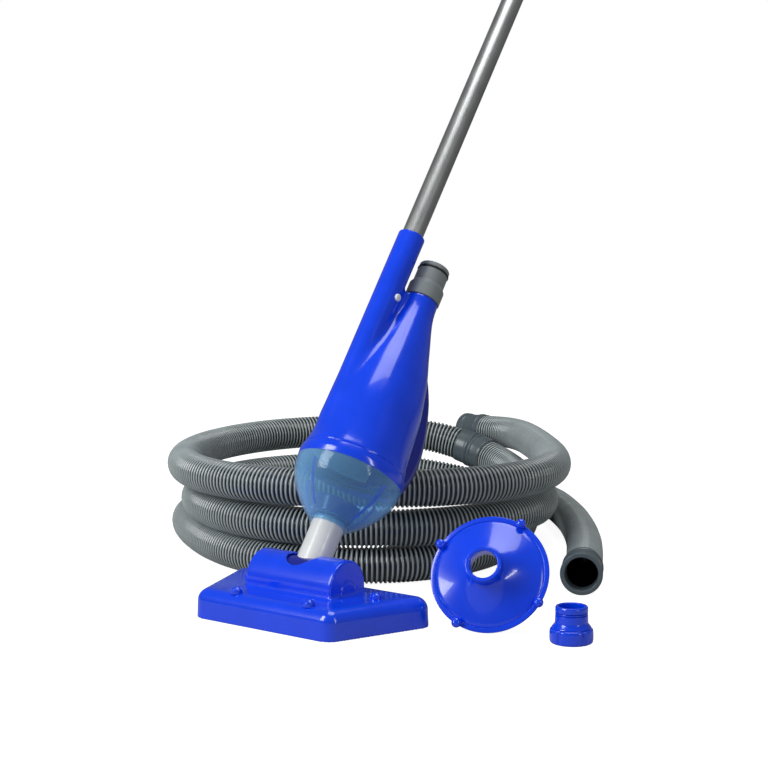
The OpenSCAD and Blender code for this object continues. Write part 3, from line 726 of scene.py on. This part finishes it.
def make_head(mats):
    shell = surface_piece("head_cover", head_shape, (-0.150, -0.082, -0.003), (0.150, 0.062, 0.077), 0.0015,
                          Matrix.Identity(4))
    dress(shell, "head", "blue_gloss", mats, "head_shell")
    top = HEAD_H
    peg = rounded([(0, 0.001), (0.0025, 0.001), (0.0025, top - 0.001), (0.0068, top - 0.001, 0.0004),
                   (0.0064, top + 0.0042, 0.0018), (0.0038, top + 0.0066, 0.0012), (0, top + 0.0069)])
    pegs = join_as("domed_pegs", [lathe(peg, Matrix.Translation((x, y, 0)), 40) for x, y in PEG_PLACES])
    dress(pegs, "head", "blue_gloss", mats, "base_pegs")
    for node, row, span in BRUSHES:
        dress(bristles(node + "_bristles", row, span), "head", "bristle", mats, node)


TUFT_PITCH = 0.0032
TUFT_ROW = 0.0018             # between the three rows of tufts
TUFT_LEAN = 0.0004            # how far a tuft's tip wanders
TUFT_ENDS = ((0.0034, 0.0007, 0), (0.0002, 0.0010, 1))   # height, radius, share of the lean


def bar(low, high):
    """(verts, faces) of a plain box between two corners."""
    verts = []
    for x in (low[0], high[0]):
        for y, z in ((low[1], low[2]), (high[1], low[2]), (high[1], high[2]), (low[1], high[2])):
            verts.append((x, y, z))
    return verts, [[0, 1, 2, 3], [7, 6, 5, 4], [0, 4, 5, 1], [1, 5, 6, 2], [2, 6, 7, 3], [3, 7, 4, 0]]


def tuft(x, y, lean_x, lean_y):
    """(verts, faces) of one tuft, a little wider at its tip."""
    verts = []
    for z, r, share in TUFT_ENDS:
        for a in range(6):
            t = math.radians(60 * a)
            verts.append((x + share * lean_x + r * math.cos(t), y + share * lean_y + r * math.sin(t), z))
    faces = tube_faces(2, 6)
    faces.append([0, 1, 2, 3, 4, 5])
    faces.append([11, 10, 9, 8, 7, 6])
    return verts, faces


def bristles(name, row, span):
    """A strip with rows of leaning bristle tufts that end just above the floor."""
    rng = np.random.default_rng(7)
    parts = [bar((-span / 2 - 0.002, row - 0.0044, 0.0031), (span / 2 + 0.002, row + 0.0044, 0.0064))]
    tufts = int(span / TUFT_PITCH)
    for i in range(tufts):
        for k in (-1, 0, 1):
            lean_x, lean_y = rng.normal(0, TUFT_LEAN, 2)
            parts.append(tuft(-span / 2 + span * (i + 0.5) / tufts, row + k * TUFT_ROW, lean_x, lean_y))
    return join_as(name, parts)


# ---------------------------------------------------------------- body
BOTTLE = [(RIM_T, 0.0630), (RIM_T + 0.015, 0.0622), (RIM_T + 0.025, 0.0602), (RIM_T + 0.043, 0.0580),
          (RIM_T + 0.065, 0.0562), (RIM_T + 0.091, 0.0540), (RIM_T + 0.110, 0.0508), (RIM_T + 0.119, 0.0490),
          (RIM_T + 0.135, 0.0456), (RIM_T + 0.147, 0.0424), (RIM_T + 0.165, 0.0369), (RIM_T + 0.185, 0.0312),
          (RIM_T + 0.203, 0.0260), (RIM_T + 0.214, 0.0232), (RIM_T + 0.226, 0.0213), (TOP_T, 0.0206)]
BAND_TOP = RIM_T + 0.0146     # top of the wider band at the bottle's rim
BOTTLE_WALL = 0.0025
SLEEVE_TOP = RIM_T + 0.305
SLEEVE_LOW = RIM_T + 0.056    # the sleeve runs out into the bottle below this
SLEEVE_R = 0.0165
POLE_AT = -0.0445             # the pole's axis in the body's own y
POLE_R = 0.013
WEB_LOW, WEB_TOP = RIM_T + 0.112, TOP_T - 0.003
WEB_HALF = 0.005              # half the web's thickness, between bottle and sleeve


def curve_through(points):
    """A smooth function through (place, value) pairs."""
    t, v = np.array(points).T
    slope = np.gradient(v, t)

    def value(at):
        at = np.clip(at, t[0], t[-1])
        i = np.clip(np.searchsorted(t, at) - 1, 0, len(t) - 2)
        h = t[i + 1] - t[i]
        u = (at - t[i]) / h
        return ((2 * u ** 3 - 3 * u ** 2 + 1) * v[i] + (u ** 3 - 2 * u ** 2 + u) * h * slope[i]
                + (3 * u ** 2 - 2 * u ** 3) * v[i + 1] + (u ** 3 - u ** 2) * h * slope[i + 1])
    return value


bottle_r = curve_through(BOTTLE)


def between(t, low, high):
    """Distance outside a stretch of an axis, less than nothing inside it."""
    return np.abs(t - (high + low) / 2) - (high - low) / 2


def body_shape(p):
    """The bottle and the pole's sleeve, melted together along a thin web."""
    x, y, t = p.T
    radius = np.hypot(x, y)
    away = np.hypot(x, y - POLE_AT)
    bottle = (radius - bottle_r(t)) * 0.93
    bottle = box_2d(bottle, between(t, BAND_TOP + 0.0008, TOP_T), 0.0008)
    sleeve = np.where(t > SLEEVE_LOW, away, np.sqrt(away ** 2 + (0.62 * (t - SLEEVE_LOW)) ** 2)) - SLEEVE_R
    sleeve = box_2d(sleeve, t - SLEEVE_TOP, 0.001)
    web = np.maximum(np.abs(x) - WEB_HALF, between(t, WEB_LOW, WEB_TOP))
    web = np.maximum(web, between(y, POLE_AT - 0.0005, -0.009))
    solid = smooth_union(bottle, sleeve, 0.009)
    solid = smooth_union(solid, web, 0.004)
    room = np.maximum(radius - np.minimum(bottle_r(t) - BOTTLE_WALL, 0.0601), t - TOP_T + 0.009)
    outlet = np.maximum(radius - 0.0175, RIM_T - t)
    solid = np.maximum(solid, -np.minimum(room, outlet))
    bore = np.maximum(away - POLE_R - 0.0001, RIM_T + 0.2 - t)
    return smooth_cut(solid, bore, 0.0006)


def rim_band_outline():
    inner = 0.0608
    return rounded([(inner, RIM_T, 0.0006), (0.0636, RIM_T, 0.0012), (0.0641, RIM_T + 0.007, 0.01),
                    (0.0630, BAND_TOP, 0.0010), (inner, BAND_TOP, 0.0004)])


def bottle_groove_outline():
    inner, outer = 0.0603, 0.0615
    low, high = BAND_TOP - 0.001, BAND_TOP + 0.002
    return [(inner, low), (outer, low), (outer, high), (inner, high)]


def make_body(mats):
    shell = surface_piece("bottle", body_shape, (-0.068, -0.068, RIM_T + 0.008),
                          (0.068, 0.068, RIM_T + 0.318), 0.0016, BODY)
    dress(shell, "body", "blue_gloss", mats, "body_shell")
    band = lathe_piece("bottle_rim_band", rim_band_outline(), BODY, seg=160)
    groove = lathe_piece("bottle_groove", bottle_groove_outline(), BODY, seg=160)
    for piece in (band, groove):
        dress(piece, "body", "blue_gloss", mats)


def make_connector(mats):
    """The grey spigot on the bottle's top, its black ring standing a little proud."""
    top = BODY @ Matrix.Translation((0, 0, TOP_T))
    r, bore = 0.0190, 0.0155
    collar, groove = 0.0218, 0.0172
    outline = [(bore, -0.018), (0.0175, -0.018), (0.0175, 0.0004), (collar - 0.0006, 0.0004, 0.0008),
               (collar, 0.0014, 0.0008), (collar, 0.0178, 0.0012), (r + 0.0001, 0.0224, 0.0014),
               (r, 0.0390, 0.0005), (groove, 0.0393, 0.0003), (groove, 0.0417, 0.0003), (r, 0.0421, 0.0005),
               (r - 0.0001, 0.0462, 0.001), (0.0180, 0.0475, 0.0008), (0.0162, 0.0475, 0.0006),
               (bore, 0.0467, 0.0006)]
    connector = lathe_piece("hose_connector", rounded(outline), top, seg=112)
    dress(connector, "body", "grey_plastic", mats, "connector")
    thick = 0.0013
    ring = [(0.01855 + thick * math.cos(math.radians(a)), 0.0405 + thick * math.sin(math.radians(a)))
            for a in range(0, 360, 20)]
    dress(lathe_piece("connector_seal", ring, top, seg=112), "body", "black_rubber", mats, "connector_oring")


FAIRING_LOW, FAIRING_TOP = RIM_T + 0.002, RIM_T + 0.150
FAIRING_HALF = 0.016          # half its width where it leaves the bottle


def fairing_shape(p):
    """A rounded keel on the bottle's back, fullest below its middle."""
    x, y, t = p.T
    s = np.clip((t - FAIRING_LOW) / (FAIRING_TOP - FAIRING_LOW), 0, 1)
    reach = 0.062 - 0.019 * s + 0.025 * np.sin(np.pi * s ** 0.9) ** 0.8 * (1 - 0.25 * s)
    width = np.abs(x) - FAIRING_HALF + 0.25 * np.maximum(y - 0.055, 0)
    solid = box_2d(y - reach, width, 0.010)
    return np.maximum(np.maximum(solid, 0.030 - y), np.maximum(FAIRING_LOW - t, t - FAIRING_TOP))


def make_fairing(mats):
    fairing = surface_piece("rear_cover", fairing_shape, (-0.020, 0.028, RIM_T - 0.002),
                            (0.020, 0.086, RIM_T + 0.154), 0.0015, BODY)
    dress(fairing, "body", "blue_dark", mats, "rear_fairing")


# ---------------------------------------------------------------- bowl
BOWL_LOW = 0.070              # the bowl's mouth round the neck, along the neck's axis
BOWL_FOOT_R, BOWL_RIM_R = 0.0235, 0.0636
BOWL_BORE = 0.01905
BOWL_WALL = 0.0025
BOWL_STEPS = 22
RIB_TURN = 20                 # direction of the first inner rib, degrees


def dome_radius(s):
    """The bowl's outer radius at a share of its height."""
    return BOWL_FOOT_R + (BOWL_RIM_R - BOWL_FOOT_R) * math.sin(math.pi / 2 * s) ** 0.8


def dome_rows(low, high, inset, least, order):
    """Points (r, z) up the dome, closer together near its foot where it bends most."""
    rows = []
    for k in order:
        s = (k / BOWL_STEPS) ** 1.4
        rows.append((max(dome_radius(s) - inset, least), low + (high - low) * s))
    return rows


def bowl_outline():
    low, high = BOWL_LOW, RIM_T
    foot, lip, lip_top = 0.0217, 0.0604, high + 0.012
    outer = dome_rows(low + 0.002, high, 0, 0, range(BOWL_STEPS + 1))
    inner = dome_rows(low + 0.0036, high, BOWL_WALL, foot, range(BOWL_STEPS, 0, -1))
    return ([(BOWL_BORE, low), (0.0232, low)] + outer + [(lip, high), (lip, lip_top), (0.0580, lip_top)]
            + inner + [(foot, low + 0.0056), (BOWL_BORE, low + 0.0056)])


def bowl_rib(turn):
    """A thin blade that follows the inside of the dome."""
    places = [k / 14 for k in range(2, 13)]
    low = BOWL_LOW + 0.002
    verts = []
    for s in places:
        outer, inner = dome_radius(s) - 0.0016, dome_radius(s) - 0.0060
        t = low + (RIM_T - low) * s
        verts += [(outer, -0.0007, t), (outer, 0.0007, t), (inner, 0.0005, t), (inner, -0.0005, t)]
    faces = tube_faces(len(places), 4)
    last = len(verts) - 4
    faces += [[3, 2, 1, 0], [last, last + 1, last + 2, last + 3]]
    return placed(verts, BODY @ Matrix.Rotation(math.radians(turn), 4, "Z")), faces


def make_bowl(mats):
    bowl = lathe_piece("debris_bowl", bowl_outline(), BODY, seg=144)
    dress(bowl, "bowl", "clear_bowl", mats, "bowl")
    ribs = join_as("bowl_ribs", [bowl_rib(RIB_TURN + 90 * k) for k in range(4)])
    dress(ribs, "bowl", "blue_gloss", mats)


BAG_LOW, BAG_TOP = RIM_T + 0.016, TOP_T - 0.075
BAG_ROWS, BAG_COLS = 60, 144
BAG_CLOSED = 6                # rings that close the bag's top
CLOTH = 0.0006                # the cloth's thickness


def bag_radius(s):
    return (0.0530 * (1 - s) + 0.014 * s) + 0.008 * math.sin(math.pi * s)


def bag_side():
    """Rings of points up the bag's side, which sags in soft folds."""
    verts = []
    for i in range(BAG_ROWS + 1):
        s = i / BAG_ROWS
        for k in range(BAG_COLS):
            a = 2 * math.pi * k / BAG_COLS
            fold = 0.0011 * math.sin(7 * a + 2.0 * s) + 0.0006 * math.sin(17 * a + 9 * s)
            r = bag_radius(s) + fold * math.sin(math.pi * min(1, s * 1.15)) - CLOTH
            verts.append((r * math.cos(a), r * math.sin(a), BAG_LOW + (BAG_TOP - BAG_LOW) * s))
    return verts


def make_bag(mats):
    """The filter bag: one limp shell, open at its ring and closed at its top."""
    verts = bag_side()
    last_ring = verts[-BAG_COLS:]
    for ring in range(1, BAG_CLOSED):
        shrink = 1 - ring / BAG_CLOSED
        verts += [(x * shrink, y * shrink, z + 0.0004 * ring) for x, y, z in last_ring]
    faces = tube_faces(BAG_ROWS + BAG_CLOSED, BAG_COLS)
    centre = len(verts)
    verts.append((0, 0, BAG_TOP + 0.0026))
    for k in range(BAG_COLS):
        faces.append([centre - BAG_COLS + k, centre - BAG_COLS + (k + 1) % BAG_COLS, centre])
    bag = new_mesh("filter_bag_cloth", placed(verts, BODY), faces, sharp=0)
    tidy(bag)
    bag.modifiers.new("thickness", "SOLIDIFY").thickness = CLOTH
    with bpy.context.temp_override(object=bag, active_object=bag):
        bpy.ops.object.modifier_apply(modifier="thickness")
    dress(bag, "bowl", "mesh_fabric", mats, "filter_bag")


# ---------------------------------------------------------------- loose pieces
PLATE_FOOT = (0.2017, 0.058, 0)   # where the plate's rim stands on the floor
PLATE_TURN = -68.2
PLATE_LEAN = 28.5
PLATE_R = 0.066
KNOB_R = 0.0055
KNOB_TURN = 62.7              # direction of the first knob, degrees


def plate_frame():
    """The plate's own axes: its rim's centre, with z out of its tube."""
    turn = Matrix.Rotation(math.radians(PLATE_TURN + 90), 4, "Z")
    tip = Matrix.Rotation(math.radians(90 - PLATE_LEAN), 4, "X")
    return Matrix.Translation(PLATE_FOOT) @ turn @ tip @ Matrix.Translation((0, PLATE_R, 0))


def plate_outline():
    steps = 18
    r, tube_r, bore = PLATE_R, 0.0190, 0.0152
    rim = [(r - 0.0075, 0), (r - 0.0002, 0, 0.0008), (r, 0.0024, 0.0008), (r - 0.0052, 0.0029, 0.0008),
           (r - 0.0058, 0.0019, 0.0004), (r - 0.0064, 0.0026, 0.0004)]
    face = [(0.0192 + 0.0402 * (1 - k / steps) ** 1.5, 0.0028 + 0.0212 * k / steps) for k in range(steps + 1)]
    tube = [(tube_r, 0.0385, 0.0005), (tube_r + 0.0006, 0.0398, 0.0006), (tube_r, 0.0400, 0.0004),
            (0.0160, 0.0400, 0.0010), (bore, 0.0390, 0.0006), (bore, 0.024)]
    back = [(r - 0.0022, z - 0.0022) for r, z in face[::-1][1:]]
    return rounded(rim + face + tube + back)


def make_plate(mats):
    place = plate_frame()
    cone = lathe_piece("skimmer_cone", plate_outline(), place, seg=160)
    dress(cone, "plate", "blue_gloss", mats, "plate_cone")
    knob = rounded([(0, 0.0012), (0.0040, 0.0012, 0.001), (0.0046, 0.0035, 0.002), (KNOB_R, 0.0060, 0.0022),
                    (0.0046, 0.0098, 0.0024), (0.0020, 0.0110, 0.002), (0, 0.0111)])
    knobs = []
    for k in range(4):
        a = math.radians(KNOB_TURN + 90 * k)
        out = (PLATE_R - 0.001) * Vector((math.cos(a), math.sin(a), 0))
        knobs.append(lathe(knob, place @ Matrix.Translation(out), 40))
    dress(join_as("rim_knobs", knobs), "plate", "blue_gloss", mats, "plate_knobs")


ADAPTOR_AT = (0.297, 0.0828, 0)
NUT_H = 0.016
NUT_R = 0.0233
NUT_GROOVES = 5
NUT_TURN = -23                # direction of the first groove, degrees


def nut_shape(p):
    """A barrelled nut with round grooves for the fingers; its bore steps where the washer sits."""
    x, y, z = p.T
    radius = np.hypot(x, y)
    side = radius - NUT_R + 0.0012 * ((z - NUT_H / 2) / (NUT_H / 2)) ** 4
    solid = box_2d(side, between(z, 0, NUT_H), 0.0018)
    angle = np.arctan2(y, x) - math.radians(NUT_TURN)
    share = 2 * math.pi / NUT_GROOVES
    off = (angle + share / 2) % share - share / 2
    groove = np.hypot(radius * np.sin(off), radius * np.cos(off) - NUT_R - 0.0005) - 0.0023
    solid = smooth_cut(solid, groove, 0.0012)
    bore = np.where(z < 0.0084, 0.02056, np.where(z < 0.0131, 0.0210, 0.01876))
    return np.maximum(solid, bore - radius)


def make_adaptor(mats):
    place = Matrix.Translation(ADAPTOR_AT)
    r, bore = 0.0174, 0.0140
    flange, neck, groove = 0.0205, 0.0187, 0.0158
    outline = [(bore, 0.0106), (flange, 0.0106, 0.0003), (flange, 0.0128, 0.0003), (neck, 0.0128),
               (neck, 0.0163), (0.0216, 0.0163, 0.0006), (0.0200, 0.0182, 0.002), (r + 0.0002, 0.0214, 0.003),
               (r, 0.0298, 0.0004), (groove, 0.0302, 0.0003), (groove, 0.0329, 0.0003),
               (r, 0.0333, 0.0004), (r, 0.0380, 0.0010), (0.0166, 0.0394, 0.0008), (0.0149, 0.0395, 0.0006),
               (bore, 0.0386, 0.0006)]
    spigot = lathe_piece("adaptor_tube", rounded(outline), place, seg=112)
    dress(spigot, "adaptor", "blue_gloss", mats, "adaptor_spigot")
    nut = surface_piece("adaptor_grip_nut", nut_shape, (-0.025, -0.025, -0.001), (0.025, 0.025, 0.0175),
                        0.0006, place)
    dress(nut, "nut", "blue_gloss", mats, "adaptor_nut")


# ---------------------------------------------------------------- the CAD nodes that show as they are
def dress_nodes(mats):
    slots = {row["node"]: row["material_slot"] for row in frame["record"]["subparts"]}
    for name, obj in frame["nodes"].items():
        mesh = obj.data
        mesh.materials.clear()
        mesh.materials.append(mats[slots[name]])
        mesh.polygons.foreach_set("use_smooth", [True] * len(mesh.polygons))
        mesh.set_sharp_from_angle(angle=math.radians(32))


make_camera()
hose_a, hose_b, cuffs = make_hose()
materials = make_materials()
for hose in (hose_a, hose_b):
    hose.data.materials.append(materials["hose_grey"])
for cuff in cuffs:
    cuff.data.materials.append(materials["cuff_grey"])
make_studio()
make_head(materials)
make_body(materials)
make_connector(materials)
make_fairing(materials)
make_bowl(materials)
make_bag(materials)
make_plate(materials)
make_adaptor(materials)
dress_nodes(materials)
